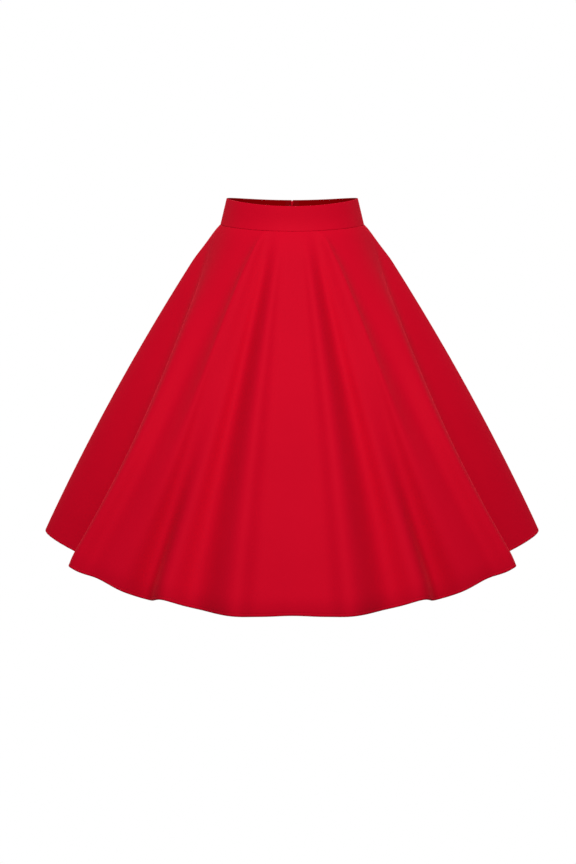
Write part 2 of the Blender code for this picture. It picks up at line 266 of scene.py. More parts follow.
def rolled(distance, radius):
    """How deep an edge lies that is rolled under, at a distance from it."""
    inside = np.clip(1 - distance / radius, 0, 1)
    return radius * (1 - np.sqrt(1 - inside**2))


def grid_of_cloth(first_station, last_station):
    """Stations and shares of a panel's grid, with close columns and rows along its edges."""
    top_rows = np.array(TOP_STEPS) * MM
    hem_rows = np.array(HEM_STEPS[::-1]) * MM
    typical = FOLDS[0].length
    row_count = round((typical - top_rows[-1] - hem_rows[0]) / ROW_SPACING)
    middle = np.linspace(top_rows[-1], typical - hem_rows[0], row_count + 1)[1:-1] / typical
    column_count = round((last_station - first_station) * COLUMNS_PER_STATION)
    inner = np.linspace(first_station, last_station, column_count + 1)[1:-1]
    side = [step * MM for step in SIDE_STEPS]

    def column(station, edge, shift):
        """One column of the grid, which for a seam keeps its distance to it all the way down."""
        length = eased("length", np.array(abs(station)))
        share = np.concatenate((top_rows / length, middle, 1 - hem_rows / length))
        stations = np.full(len(share), float(station))
        if edge is not None:
            ahead = cloth_points(stations + STATION_STEP, share)
            behind = cloth_points(stations - STATION_STEP, share)
            rate = np.linalg.norm(ahead - behind, axis=-1) / (2 * STATION_STEP)
            stations = edge + shift / rate
        return stations, share

    columns = [column(first_station, first_station, step) for step in side]
    columns += [column(station, None, 0) for station in inner]
    columns += [column(last_station, last_station, -step) for step in reversed(side)]
    stations, shares = zip(*columns)
    return np.array(stations), np.array(shares)


def run_along(points, axis):
    """The distance walked along a grid's rows or columns, from their first point."""
    steps = np.linalg.norm(np.diff(points, axis=axis), axis=-1)
    walked = np.cumsum(steps, axis=axis)
    return np.insert(walked, 0, 0, axis=axis)


def placed(name, data):
    """A new object in the scene, for a mesh, a light or a camera."""
    obj = bpy.data.objects.new(name, data)
    bpy.context.scene.collection.objects.link(obj)
    return obj


def shell(name, form, near, far, flat, outer_material, inner_material):
    """A closed mesh between two depths under a form, with the flat cloth as its UV map."""
    across, down = form.shape[:2]
    normals = outward(form)
    near, far = (np.broadcast_to(depth, (across, down))[..., None] for depth in (near, far))
    points = np.concatenate((form - normals * near, form - normals * far)).reshape(-1, 3)
    index = np.arange(across * down).reshape(across, down)
    under = index + across * down

    def quads(a, b, c, d):
        return np.stack((a, b, c, d), axis=-1).reshape(-1, 4)

    faces = [
        quads(index[:-1, :-1], index[:-1, 1:], index[1:, 1:], index[1:, :-1]),
        quads(under[:-1, :-1], under[1:, :-1], under[1:, 1:], under[:-1, 1:]),
        quads(index[:-1, 0], index[1:, 0], under[1:, 0], under[:-1, 0]),
        quads(index[1:, -1], index[:-1, -1], under[:-1, -1], under[1:, -1]),
        quads(index[0, 1:], index[0, :-1], under[0, :-1], under[0, 1:]),
        quads(index[-1, :-1], index[-1, 1:], under[-1, 1:], under[-1, :-1]),
    ]
    faces = np.concatenate(faces)
    mesh = bpy.data.meshes.new(name)
    mesh.from_pydata(points.tolist(), [], faces.tolist())
    layer = mesh.uv_layers.new(name="cloth")
    both = np.concatenate((flat.reshape(-1, 2), flat.reshape(-1, 2)))
    layer.data.foreach_set("uv", both[faces.reshape(-1)].astype(np.float32).ravel())
    inner_faces = np.zeros(len(faces), dtype=np.int32)
    inner_faces[(across - 1) * (down - 1):2 * (across - 1) * (down - 1)] = 1
    mesh.materials.append(outer_material)
    mesh.materials.append(inner_material)
    mesh.polygons.foreach_set("material_index", inner_faces)
    mesh.shade_smooth()
    return placed(name, mesh)


HEM_ROUND = 3.08
SEAM_ROUND = 0.725
RING_ANGLE = (HEM_ROUND - SEAM_ROUND) / FOLDS[0].length
RING_INNER_RADIUS = SEAM_ROUND / RING_ANGLE


def panel_shell(name, first_station, last_station):
    """One panel with rolled seam edges and a turned hem, and its own flat cut as UVs."""
    stations, shares = grid_of_cloth(first_station, last_station)
    form = cloth_points(stations, shares)
    across = run_along(form, 0)
    down = run_along(form, 1)
    to_side = np.minimum(across, across[-1:] - across) + SEAM_GAP / 2
    to_hem = down[:, -1:] - down

    outer = rolled(to_side, EDGE_ROLL) + 0.5 * rolled(down, EDGE_ROLL) + rolled(to_hem, HEM_ROLL)
    stitched = dent(to_hem - HEM_STITCH_LINE, HEM_STITCH_DENT_WIDTH)
    rope = 0.5 + 0.5 * np.sin(2 * math.pi * (across + HEM_ROPE_SLANT * to_hem) / HEM_ROPE_PITCH)
    puff = np.sin(math.pi * np.clip(to_hem / HEM_STITCH_LINE, 0, 1)) ** 2
    outer = outer + HEM_STITCH_DENT * stitched - (HEM_PUFF + HEM_ROPE * rope) * puff

    hem_layers = 1 - soft_step(to_hem, HEM_DEPTH - HEM_DEPTH_BELOW, HEM_DEPTH + HEM_DEPTH_ABOVE)
    inner = CLOTH_THICKNESS + (HEM_THICKNESS - CLOTH_THICKNESS) * hem_layers
    inner = inner - rolled(to_hem, EDGE_ROLL) * hem_layers - BOBBIN_DENT * stitched
    inner = np.maximum(inner, outer + LEAST_WALL)

    angle = (across - across[-1:] / 2)[:, -1:] / (RING_INNER_RADIUS + down[:, -1:])
    radius = RING_INNER_RADIUS + down
    flat = np.stack((radius * np.sin(angle), -radius * np.cos(angle)), axis=-1)
    return shell(name, form, outer, inner, flat, COTTON, SHADED_WRONG_SIDE)


def new_group(name, inputs, outputs):
    """An empty node group with its sockets, and its input and output nodes."""
    group = bpy.data.node_groups.new(name, "ShaderNodeTree")
    for socket, kind, value in inputs:
        made = group.interface.new_socket(name=socket, in_out="INPUT", socket_type=kind)
        if value is not None:
            made.default_value = value
    for socket, kind in outputs:
        group.interface.new_socket(name=socket, in_out="OUTPUT", socket_type=kind)
    return group, group.nodes.new("NodeGroupInput"), group.nodes.new("NodeGroupOutput")


def math_node(tree, operation, first, second=None):
    """A Math node whose inputs are sockets or plain numbers, as its output socket."""
    node = tree.nodes.new("ShaderNodeMath")
    node.operation = operation
    for socket, value in zip(node.inputs, (first, second)):
        if value is None:
            continue
        if isinstance(value, bpy.types.NodeSocket):
            tree.links.new(value, socket)
        else:
            socket.default_value = value
    return node.outputs["Value"]


def thread_round(tree, position):
    """The rounded back of the thread at a position counted in threads, 0 to 1 high."""
    wave = math_node(tree, "SINE", math_node(tree, "MULTIPLY", position, math.pi))
    return math_node(tree, "ABSOLUTE", wave)


COTTON_THREADS = 3600.0
SATEEN_ENDS = 5
SATEEN_MOVE = 2
WEFT_HEIGHT = 0.6


def make_sateen_group():
    """A five-end sateen: each warp thread floats over four wefts and dips under the fifth."""
    tree, entry, leave = new_group(
        "sateen weave",
        [("Vector", "NodeSocketVector", None), ("Threads per metre", "NodeSocketFloat", COTTON_THREADS)],
        [("Height", "NodeSocketFloat"), ("Gap shade", "NodeSocketFloat")],
    )
    place = tree.nodes.new("ShaderNodeSeparateXYZ")
    tree.links.new(entry.outputs["Vector"], place.inputs["Vector"])
    threads = entry.outputs["Threads per metre"]

    def do(operation, first, second=None):
        return math_node(tree, operation, first, second)

    warp = do("MULTIPLY", place.outputs["X"], threads)
    weft = do("MULTIPLY", place.outputs["Y"], threads)
    step = do("MULTIPLY", do("FLOOR", warp), SATEEN_MOVE / SATEEN_ENDS)
    rise = do("MULTIPLY", do("FLOOR", weft), 1 / SATEEN_ENDS)
    over = do("GREATER_THAN", do("FRACT", do("ADD", step, rise)), 1 / SATEEN_ENDS - 0.01)
    warp_back = do("MULTIPLY", thread_round(tree, warp), over)
    weft_back = do("MULTIPLY", thread_round(tree, weft), do("SUBTRACT", 1.0, over))
    height = do("ADD", warp_back, do("MULTIPLY", weft_back, WEFT_HEIGHT))
    tree.links.new(height, leave.inputs["Height"])
    # Painted shade: a mask that is darker where the threads sink between each other.
    tree.links.new(do("SUBTRACT", 1.0, do("POWER", height, 0.5)), leave.inputs["Gap shade"])
    return tree


DYE_NOISES = (("Patches", 9.0, 3.0), ("Flecks", 420.0, 2.0), ("Ripples", 26.0, 2.5))


def make_dye_group():
    """Uneven dye and handling: broad patches, fine flecks and soft ripples, each 0 to 1."""
    outputs = [(output, "NodeSocketFloat") for output, scale, detail in DYE_NOISES]
    tree, entry, leave = new_group("uneven dye", [("Vector", "NodeSocketVector", None)], outputs)
    for output, scale, detail in DYE_NOISES:
        noise = tree.nodes.new("ShaderNodeTexNoise")
        noise.inputs["Scale"].default_value = scale
        noise.inputs["Detail"].default_value = detail
        tree.links.new(entry.outputs["Vector"], noise.inputs["Vector"])
        tree.links.new(noise.outputs["Fac"], leave.inputs[output])
    return tree


SATEEN = make_sateen_group()
UNEVEN_DYE = make_dye_group()


def group_node(tree, group, vector):
    node = tree.nodes.new("ShaderNodeGroup")
    node.node_tree = group
    tree.links.new(vector, node.inputs["Vector"])
    return node


def mix_colours(tree, fac, first, second):
    """A colour mixed from two, each a socket or a plain colour."""
    node = tree.nodes.new("ShaderNodeMix")
    node.data_type = "RGBA"
    tree.links.new(fac, node.inputs[0])
    colours = [socket for socket in node.inputs if socket.type == "RGBA"]
    for socket, value in zip(colours, (first, second)):
        if isinstance(value, bpy.types.NodeSocket):
            tree.links.new(value, socket)
        else:
            socket.default_value = (*value, 1.0)
    return next(socket for socket in node.outputs if socket.type == "RGBA")


def new_material(name):
    """A new material with its node tree and its shader."""
    material = bpy.data.materials.new(name)
    material.use_nodes = True
    tree = material.node_tree
    return material, tree, tree.nodes["Principled BSDF"]


def on_the_cloth(tree):
    """The coordinates of the cloth laid flat."""
    uv = tree.nodes.new("ShaderNodeUVMap")
    uv.uv_map = "cloth"
    return uv.outputs["UV"]


def on_the_object(tree):
    return tree.nodes.new("ShaderNodeTexCoord").outputs["Object"]


def swing(tree, mask, least, span):
    """A value that rises from its least by a span as a mask does from 0 to 1."""
    return math_node(tree, "ADD", math_node(tree, "MULTIPLY", mask, span), least)


def relief(tree, height, strength, distance, under=None):
    """The normals of a bump, laid over those of another bump if one is given."""
    bump = tree.nodes.new("ShaderNodeBump")
    bump.inputs["Strength"].default_value = strength
    bump.inputs["Distance"].default_value = distance
    tree.links.new(height, bump.inputs["Height"])
    if under is not None:
        tree.links.new(under, bump.inputs["Normal"])
    return bump.outputs["Normal"]


COTTON_RED = (0.70, 0.0031, 0.0215)
COTTON_DEEP = (0.64, 0.0026, 0.0190)
COTTON_SHEEN = (1.0, 0.04, 0.07)
COTTON_SHEEN_WEIGHT = 0.55
COTTON_SHEEN_ROUGHNESS = 0.35
COTTON_SPECULAR = 0.012
COTTON_ROUGHNESS = 0.52
COTTON_ROUGHNESS_SPAN = 0.12
# How far the painted shade in the weave's gaps draws the colour to the deep red.
PAINTED_GAP_SHADE = 0.35
RIPPLE_STRENGTH = 0.35
WEAVE_STRENGTH = 0.5
# The wrong side: the cotton's reds made darker, painted shade for the inside faces.
WRONG_SIDE_SHADED_RED = (0.46, 0.0010, 0.0060)
WRONG_SIDE_SHADED_DEEP = (0.40, 0.0008, 0.0050)


def make_cotton(name, bright, deep, weave_depth, ripple_depth, gloss=1.0):
    """Dyed cotton sateen with its weave, patchy dye and a faint ripple from pressing."""
    material, tree, shader = new_material(name)
    weave = group_node(tree, SATEEN, on_the_cloth(tree))
    weave.inputs["Threads per metre"].default_value = COTTON_THREADS
    dye = group_node(tree, UNEVEN_DYE, on_the_object(tree))

    colour = mix_colours(tree, dye.outputs["Patches"], bright, deep)
    # Painted shade in the weave's gaps: the colour is drawn toward the deep red where threads sink.
    gap_shade = math_node(tree, "MULTIPLY", weave.outputs["Gap shade"], PAINTED_GAP_SHADE)
    tree.links.new(mix_colours(tree, gap_shade, colour, deep), shader.inputs["Base Color"])
    rough = swing(tree, dye.outputs["Flecks"], COTTON_ROUGHNESS, COTTON_ROUGHNESS_SPAN)
    tree.links.new(rough, shader.inputs["Roughness"])
    shader.inputs["Specular IOR Level"].default_value = COTTON_SPECULAR * gloss
    shader.inputs["Sheen Weight"].default_value = COTTON_SHEEN_WEIGHT * gloss
    shader.inputs["Sheen Roughness"].default_value = COTTON_SHEEN_ROUGHNESS
    shader.inputs["Sheen Tint"].default_value = (*COTTON_SHEEN, 1.0)
    ripples = relief(tree, dye.outputs["Ripples"], RIPPLE_STRENGTH, ripple_depth)
    threads = relief(tree, weave.outputs["Height"], WEAVE_STRENGTH, weave_depth, ripples)
    tree.links.new(threads, shader.inputs["Normal"])
    return material


COTTON = make_cotton("cotton sateen", COTTON_RED, COTTON_DEEP, 0.05 * MM, 1.0 * MM)
# The wrong side, duller than the right side, and darker as painted shade for the inside.
SHADED_WRONG_SIDE = make_cotton("cotton wrong side painted shade", WRONG_SIDE_SHADED_RED, WRONG_SIDE_SHADED_DEEP, 0.08 * MM, 0.8 * MM, 0.3)


def cut_of_panel(first_station, last_station):
    """The flat cut of one panel: a ring sector's width, length and area."""
    outer = RING_INNER_RADIUS + FOLDS[0].length
    hem_line = cloth_points(np.linspace(first_station, last_station, HEM_SAMPLES), np.array(1.0))
    angle = run_along(hem_line, 0)[-1] / outer
    width = 2 * outer * math.sin(min(angle, math.pi) / 2)
    length = outer - RING_INNER_RADIUS * math.cos(angle / 2)
    return width, length, angle / 2 * (outer**2 - RING_INNER_RADIUS**2)


PANELS = (
    ("front_panel", "skirt_front", -SIDE_SEAM, SIDE_SEAM),
    ("back_left_panel", "skirt_back_left", SIDE_SEAM, CENTRE_BACK),
    ("back_right_panel", "skirt_back_right", -CENTRE_BACK, -SIDE_SEAM),
)
for piece_name, node_name, first_edge, last_edge in PANELS:
    panel = panel_shell(piece_name, first_edge, last_edge)
    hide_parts(node_name)
    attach(panel, "garment")
    cut_width, cut_length, cut_area = cut_of_panel(first_edge, last_edge)


# The hem's stitching. A lockstitch in matching polyester thread, sewn from the right side
# after the edge was turned up twice, with its bobbin thread on the inside.

STITCH_PITCH = 2.8 * MM
STITCH_LENGTH = 2.35 * MM
STITCH_PLUMPNESS = 0.6
STITCH_END_SWELL = 0.25
STITCH_SINK = 0.7
STITCH_RINGS = 5
STITCH_SIDES = 6
STITCH_INSET = 1.5 * MM
THREAD_WIDTH = 0.42 * MM
THREAD_HEIGHT = 0.30 * MM
TOP_THREAD_DEPTH = 0.22 * MM
BOBBIN_THREAD_DEPTH = HEM_THICKNESS - 0.2 * MM
HEM_POINTS_PER_STATION = 60


def textured(name, kind, settings, colours, roughness, specular, bump=None, place=on_the_object):
    """A material whose colour, roughness and relief all follow one texture."""
    material, tree, shader = new_material(name)
    texture = tree.nodes.new(kind)
    for setting, value in settings.items():
        texture.inputs[setting].default_value = value
    if kind == "ShaderNodeTexWave":
        texture.bands_direction = "DIAGONAL"
    tree.links.new(place(tree), texture.inputs["Vector"])
    mask = texture.outputs["Fac"]
    tree.links.new(mix_colours(tree, mask, *colours), shader.inputs["Base Color"])
    least, span = roughness
    if span:
        tree.links.new(swing(tree, mask, least, span), shader.inputs["Roughness"])
    else:
        shader.inputs["Roughness"].default_value = least
    shader.inputs["Specular IOR Level"].default_value = specular
    if bump is not None:
        tree.links.new(relief(tree, mask, *bump), shader.inputs["Normal"])
    return material


THREAD = textured(
    "polyester thread",
    "ShaderNodeTexWave",
    {"Scale": 1300.0, "Distortion": 1.5},
    colours=((0.44, 0.0020, 0.0100), (0.62, 0.0040, 0.0180)),
    roughness=(0.55, -0.15),
    specular=0.3,
    bump=(0.6, 0.05 * MM),
)


def read_along(path, walked, places):
    """What a path holds at distances walked along it."""
    return np.stack([np.interp(places, walked, path[:, axis]) for axis in range(3)], axis=-1)


def tube_faces(rings, sides):
    """The faces of a closed tube whose points come ring after ring."""
    faces = []
    for ring in range(rings - 1):
        for corner in range(sides):
            here = ring * sides + corner
            beside = ring * sides + (corner + 1) % sides
            faces.append((here, beside, beside + sides, here + sides))
    faces.append(tuple(range(sides))[::-1])
    faces.append(tuple(range((rings - 1) * sides, rings * sides)))
    return faces


def mesh_object(name, points, faces, material):
    mesh = bpy.data.meshes.new(name)
    mesh.from_pydata(points.tolist(), [], faces)
    mesh.materials.append(material)
    mesh.shade_smooth()
    return placed(name, mesh)


def row_of_stitches(name, points, normals):
    """A row of short closed thread floats on a surface, sunk a little at both ends."""
    tangents = unit(np.gradient(points, axis=0))
    sideways = unit(np.cross(normals, tangents))
    walked = run_along(points, 0)
    count = int(walked[-1] / STITCH_PITCH)
    places = (np.arange(count) + 0.5) * walked[-1] / count
    middle = read_along(points, walked, places)[:, None, None]
    axes = (unit(read_along(run, walked, places)) for run in (tangents, sideways, normals))
    tangent, side, up = (axis[:, None, None] for axis in axes)

    turn = np.linspace(0, math.pi, STITCH_RINGS)
    along = -np.cos(turn) * STITCH_LENGTH / 2
    swell = np.sin(turn) ** STITCH_PLUMPNESS
    swell[0] = swell[-1] = STITCH_END_SWELL
    sink = (np.abs(along) / (STITCH_LENGTH / 2)) ** 2 * THREAD_HEIGHT * STITCH_SINK
    angle = np.arange(STITCH_SIDES) * 2 * math.pi / STITCH_SIDES
    local_side = swell[:, None] * np.cos(angle) * THREAD_WIDTH / 2
    local_up = swell[:, None] * np.sin(angle) * THREAD_HEIGHT / 2 - sink[:, None]
    verts = middle + tangent * along[:, None, None]
    verts = verts + side * local_side[..., None] + up * local_up[..., None]

    one = tube_faces(STITCH_RINGS, STITCH_SIDES)
    starts = range(0, count * STITCH_RINGS * STITCH_SIDES, STITCH_RINGS * STITCH_SIDES)
    faces = [tuple(corner + start for corner in face) for start in starts for face in one]
    return mesh_object(name, verts.reshape(-1, 3), faces, THREAD)


def hem_path(first_station, last_station, depth):
    """The line of the hem's stitching along one panel, at a depth under the cloth's form."""
    count = round((last_station - first_station) * HEM_POINTS_PER_STATION)
    stations = np.linspace(first_station, last_station, count)
    length = eased("length", np.abs(stations))
    from_hem = HEM_STITCH_LINE + np.array([[0.5, 0.0, -0.5]]) * MM
    band_of_cloth = cloth_points(stations[:, None], 1 - from_hem / length[:, None])
    normals = outward(band_of_cloth)[:, 1]
    points = band_of_cloth[:, 1] - normals * depth
    walked = run_along(points, 0)
    kept = (walked > STITCH_INSET) & (walked < walked[-1] - STITCH_INSET)
    return points[kept], normals[kept]


for piece_name, node_name, first_edge, last_edge in PANELS:
    for face, depth, sign in (("outside", TOP_THREAD_DEPTH, 1), ("inside", BOBBIN_THREAD_DEPTH, -1)):
        points, normals = hem_path(first_edge, last_edge, depth)
        stitches = row_of_stitches(f"{piece_name}_hem_stitches_{face}", points, sign * normals)
        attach(stitches, "garment")


# The seam allowances. Each panel's edge is turned back inside at a side seam or below the
# zip, pressed open and oversewn with an overlock stitch, so that it doesn't fray.

ALLOWANCE_WIDTH = 12.0 * MM
ALLOWANCE_THICKNESS = 0.6 * MM
ALLOWANCE_STEPS = (0.0, 0.6, 1.5, 4.0, 8.0, 11.0, 11.7, 12.0)
ALLOWANCE_LIFT = 0.35 * MM
ALLOWANCE_RIM = 0.3 * MM
ALLOWANCE_GAP = 0.05 * MM
ALLOWANCE_ROWS = 110
OVERLOCK_STEPS = (7.5, 9.5, 11.6)
OVERLOCK_PITCH = 2.2 * MM
OVERLOCK_RADIUS = 0.17 * MM
OVERLOCK_NEAR = 0.30 * MM
OVERLOCK_FAR = 0.52 * MM
OVERLOCK_SIDES = 5
OVERLOCK_SAMPLES = 400
OVERLOCK_ABOVE_HEM = 2.0 * MM


def from_seam(steps, side):
    """Steps in millimetres from a seam to one side, as distances in the order of the stations."""
    widths = np.array(steps) * MM * side
    return widths if side > 0 else widths[::-1]


def width_of_station(station, toward, share):
    """How far the cloth runs sideways over one station, on one side of a line down it."""
    apart = cloth_points(station + toward * STATION_STEP, share) - cloth_points(station, share)
    return np.linalg.norm(apart, axis=-1) / STATION_STEP


def beside_seam(edge, widths, shares):
    """Cloth points at widths from a seam, as a grid whose first index runs along +station."""
    rate = width_of_station(edge, -1 if edge >= CENTRE_BACK else 1, shares)
    return cloth_points(edge + widths[:, None] / rate[None, :], shares[None, :])


def allowance(name, edge, side, first_share):
    """One leaf of a seam allowance, on the inside of the panel at one side of the seam."""
    length = FOLDS[0].length
    shares = np.linspace(first_share, 1 - STITCH_INSET / length, ALLOWANCE_ROWS)
    widths = from_seam(ALLOWANCE_STEPS, side)
    form = beside_seam(edge, widths, shares)
    away = np.abs(widths)[:, None]
    lift = ALLOWANCE_LIFT * (away / ALLOWANCE_WIDTH) ** 2
    rim = rolled(ALLOWANCE_WIDTH - away, ALLOWANCE_RIM)
    near = CLOTH_THICKNESS + ALLOWANCE_GAP + lift + rim
    far = CLOTH_THICKNESS + ALLOWANCE_THICKNESS + lift - rim
    flat = np.stack(np.broadcast_arrays(widths[:, None], shares * length), axis=-1)
    return shell(name, form, near, far, flat, SHADED_WRONG_SIDE, COTTON)


def thread_tube(name, points, radius, sides, material):
    """A round closed tube along a path."""
    tangents = unit(np.gradient(points, axis=0))
    reference = np.where(np.abs(tangents[:, 2:3]) > 0.9, [[1.0, 0, 0]], [[0, 0, 1.0]])
    first = unit(np.cross(tangents, reference))[:, None]
    second = np.cross(tangents, first[:, 0])[:, None]
    angle = (np.arange(sides) * 2 * math.pi / sides)[None, :, None]
    verts = points[:, None] + radius * (first * np.cos(angle) + second * np.sin(angle))
    return mesh_object(name, verts.reshape(-1, 3), tube_faces(len(points), sides), material)


def overlock(name, edge, side, first_share):
    """Slanting thread floats over the raw edge of a seam allowance."""
    last_share = 1 - (HEM_DEPTH + OVERLOCK_ABOVE_HEM) / FOLDS[0].length
    shares = np.linspace(first_share, last_share, OVERLOCK_SAMPLES)
    form = beside_seam(edge, from_seam(OVERLOCK_STEPS, side), shares)
    normals = outward(form)[1]
    depth = CLOTH_THICKNESS + ALLOWANCE_THICKNESS
    inner_line = form[0 if side > 0 else 2] - normals * (depth + OVERLOCK_NEAR)
    outer_line = form[2 if side > 0 else 0] - normals * (depth + OVERLOCK_FAR)
    walked = run_along(outer_line, 0)
    count = 2 * int(walked[-1] / OVERLOCK_PITCH)
    places = np.arange(count + 1) * walked[-1] / count
    low = read_along(inner_line, walked, places)
    high = read_along(outer_line, walked, places)
    zigzag = np.where(np.arange(count + 1)[:, None] % 2 == 0, low, high)
    return thread_tube(name, zigzag, OVERLOCK_RADIUS, OVERLOCK_SIDES, THREAD)


SIDE_SEAM_TOP = 0.004
ZIP_END_SHARE = 0.21
BELOW_ZIP = ZIP_END_SHARE + 0.01
SEAMS = (
    ("left_side_seam", SIDE_SEAM, SIDE_SEAM_TOP, (-1, 1)),
    ("right_side_seam", -SIDE_SEAM, SIDE_SEAM_TOP, (-1, 1)),
    ("centre_back_left", CENTRE_BACK, BELOW_ZIP, (-1,)),
    ("centre_back_right", -CENTRE_BACK, BELOW_ZIP, (1,)),
)
for seam_name, edge, first_share, leaves in SEAMS:
    for leaf in leaves:
        tag = "back" if leaf * edge > 0 else "front"
        for maker, label in ((allowance, "allowance"), (overlock, "overlock")):
            made = maker(f"{seam_name}_{tag}_{label}", edge, leaf, first_share)
            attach(made, "garment")


# The waist seam's allowances. The panels' upper edges run on inside the seam and are pressed
# up into the band, so that no light shows between the two.

WAIST_ALLOWANCE_UP = 4.0 * MM
WAIST_ALLOWANCE_DOWN = 1.5 * MM
WAIST_ALLOWANCE_DEPTH = 0.85 * MM
WAIST_ALLOWANCE_THICKNESS = 0.3 * MM
WAIST_ALLOWANCE_BACK_GAP = 0.02
WAIST_ALLOWANCE_COLUMNS = 420


def waist_allowance(name):
    """A narrow ribbon of the panels' cloth behind the ditch of the waist seam, all round."""
    ends = CENTRE_BACK - WAIST_ALLOWANCE_BACK_GAP
    stations = np.linspace(-ends, ends, WAIST_ALLOWANCE_COLUMNS)
    down = np.linspace(0, WAIST_ALLOWANCE_DOWN, 5)[1:]
    below = cloth_points(stations[:, None], (down / FOLDS[0].length)[None, :])
    azimuth = np.arctan2(below[:, 0, 0] / SEAM_HALF_WIDTH, -below[:, 0, 1] / SEAM_HALF_DEPTH)
    up = np.linspace(WAIST_ALLOWANCE_UP, 0, 6) / BAND_HEIGHT
    above = band_points(azimuth[:, None], 1 - up[None, :])
    form = np.concatenate((above, below), axis=1)
    flat = np.stack((run_along(form, 0), run_along(form, 1)), axis=-1)
    far = WAIST_ALLOWANCE_DEPTH + WAIST_ALLOWANCE_THICKNESS
    return shell(name, form, WAIST_ALLOWANCE_DEPTH, far, flat, COTTON, SHADED_WRONG_SIDE)


ribbon = waist_allowance("waist_seam_allowance")
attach(ribbon, "garment")


# The waistband. A straight strip of the same cotton is folded lengthwise over a stiff
# interfacing, sewn to the panels with its raw edges inside, and pressed. It opens at the
# centre back, where a small notch lets the zip's bail through.

BAND_THICKNESS = 2.0 * MM
BAND_COLUMNS = 360
BAND_FOLD_STEPS = (0, 0.12, 0.3, 0.6, 1.0, 1.6, 2.6)
BAND_FOOT_STEPS = (2.6, 1.6, 1.0, 0.6, 0.3, 0.12, 0)
BAND_ROWS = 22
BAND_ROLL = 0.9 * MM
BAND_HOLLOW = 1.8 * MM
BAND_HOLLOW_SKEW = 1.4
BAND_WAVE = 0.12 * MM
BAND_WAVE_LENGTHS = (13.0 * MM, 31.0 * MM)
BAND_WAVE_HEIGHT = 3.0 * MM
BAND_WAVE_REACH = 4.0 * MM
BAND_DITCH = 0.35 * MM
BAND_DITCH_HEIGHT = 2.2 * MM
BAND_DITCH_WIDTH = 0.4 * MM
BAND_LEAST_WALL = 0.15 * MM
NOTCH_HALF_WIDTH = 1.0 * MM
NOTCH_DEPTH = 8.2 * MM
NOTCH_FOOT = 0.8 * MM


def band_hollow(share):
    """How deep the band's wall dips between its fold and its seam."""
    return BAND_HOLLOW * np.sin(math.pi * share**BAND_HOLLOW_SKEW)


def band_shell(name, outer_material, inner_material):
    """The band's wall from one end at the centre back, round the front, to the other end."""
    slant = float(np.linalg.norm(band_points(0.0, 1.0) - band_points(0.0, 0.0)))
    head = np.array(BAND_FOLD_STEPS) * MM
    foot = slant - np.array(BAND_FOOT_STEPS) * MM
    down = np.concatenate((head, np.linspace(head[-1], foot[0], BAND_ROWS)[1:-1], foot))
    in_notch = 1 - soft_step(down, NOTCH_DEPTH, NOTCH_DEPTH + NOTCH_FOOT)
    opening = SEAM_GAP / 2 + (NOTCH_HALF_WIDTH - SEAM_GAP / 2) * in_notch
    limit = math.pi - opening / WAIST_HALF_WIDTH
    ends = np.array(SIDE_STEPS) * MM / WAIST_HALF_WIDTH
    middle = np.linspace(-1, 1, BAND_COLUMNS)[1:-1, None] * (limit - 2 * ends[-1])
    right_end = -limit + ends[:, None] - ends[0]
    left_end = limit - ends[::-1, None] + ends[0]
    azimuth = np.concatenate((right_end, middle, left_end))
    share = np.broadcast_to(down / slant, azimuth.shape)
    form = band_points(azimuth, share)
    across = run_along(form, 0)
    to_end = np.minimum(across, across[-1:] - across)
    to_top = np.broadcast_to(down, azimuth.shape)
    to_foot = slant - to_top

    outer = rolled(to_top, BAND_ROLL) + 0.5 * rolled(to_foot, BAND_ROLL) + rolled(to_end, EDGE_ROLL)
    short, long = BAND_WAVE_LENGTHS
    wave = np.sin(across / short) * np.sin(across / long + 1.0)
    wave = wave * dent(to_foot - BAND_WAVE_HEIGHT, BAND_WAVE_REACH)
    hollow = band_hollow(share) * np.cos(azimuth) ** 2
    outer = outer - BAND_WAVE * wave + hollow
    inner = BAND_THICKNESS + hollow - rolled(to_top, BAND_ROLL) - rolled(to_foot, BAND_ROLL)
    inner = inner - BAND_DITCH * dent(to_foot - BAND_DITCH_HEIGHT, BAND_DITCH_WIDTH)
    inner = np.maximum(inner, outer + BAND_LEAST_WALL)
    flat = np.stack((across, to_top), axis=-1)
    return shell(name, form, outer, inner, flat, outer_material, inner_material)


BAND_COTTON = make_cotton("waistband cotton", COTTON_RED, COTTON_DEEP, 0.04 * MM, 0.5 * MM)
# The band's inner half is the same cotton, painted much darker: painted shade for the inside of the
# waist.
FACING_SHADED_RED = (0.33, 0.0006, 0.0020)
FACING_SHADED_DEEP = (0.27, 0.0005, 0.0016)
SHADED_BAND_FACING = make_cotton("waistband facing painted shade", FACING_SHADED_RED, FACING_SHADED_DEEP, 0.06 * MM, 0.5 * MM, 0.0)
band = band_shell("waistband_cloth", BAND_COTTON, SHADED_BAND_FACING)
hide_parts("waistband")
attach(band, "garment")


# The zip's tapes. Two strips of woven polyester hang inside the centre back, one on each
# side of the gap, sewn to the band and the panels from the band's top to the zip's lower end.

BAND_SLANT = float(np.linalg.norm(band_points(math.pi, 1.0) - band_points(math.pi, 0.0)))
BACK_LENGTH = FOLDS[-1].length
TAPE_TOP = 1.5 * MM
TAPE_INNER_EDGE = 0.15 * MM
TAPE_INNER_EDGE_AT_SLIDER = 1.0 * MM
TAPE_OUTER_EDGE = 13.0 * MM
TAPE_THICKNESS = 0.5 * MM
TAPE_DEPTH_IN_BAND = 2.1 * MM
TAPE_DEPTH_IN_CLOTH = 0.8 * MM
ZIP_BOTTOM = BAND_SLANT + ZIP_END_SHARE * BACK_LENGTH
TAPE_STEPS = (0.0, 0.02, 0.07, 0.17, 0.33, 0.54, 0.75, 0.92, 0.98, 1.0)
TAPE_ROWS = 150
TAPE_RIM = 0.22 * MM
TAPE_BEND = 5.0 * MM
COIL_TOP = 11.0 * MM


